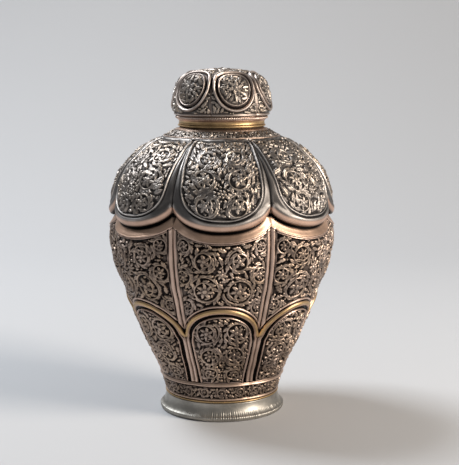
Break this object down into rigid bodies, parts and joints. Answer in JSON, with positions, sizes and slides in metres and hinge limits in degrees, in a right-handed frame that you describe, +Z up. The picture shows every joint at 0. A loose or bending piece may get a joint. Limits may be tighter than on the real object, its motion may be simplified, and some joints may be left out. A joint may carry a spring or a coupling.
{
  "type": "lidded vase",
  "caption": "Lobed sheet-metal vase on a flared foot ring, with petal-shaped shoulder and a domed lift-off lid on a hidden neck.",
  "frame": {"origin": "centre of the foot ring's resting face", "axes": "+Z up along the vase's axis; the front lobe faces -Y"},
  "size_m": [0.1338, 0.1322, 0.2007],
  "materials": {
    "dark_silver": "tarnished, chased",
    "worn_silver": "worn, satin",
    "worn_edge": "worn, satin"
  },
  "bodies": {
    "vase": {"foot_ring": "worn_silver", "foot_wire": "worn_edge", "base_plate": "dark_silver", "belly_shell": "dark_silver", "shoulder_shell": "dark_silver", "neck_collar": "worn_edge", "neck_seat_ring": "worn_edge"},
    "lid": {"lid_skirt": "worn_edge", "lid_rope_wire": "worn_edge", "lid_dome": "dark_silver"}
  },
  "joints": [
    {"name": "lid_lift", "type": "slide", "parent": "vase", "child": "lid", "axis": [0, 0, 1], "range_m": [0, 0.05]}
  ]
}
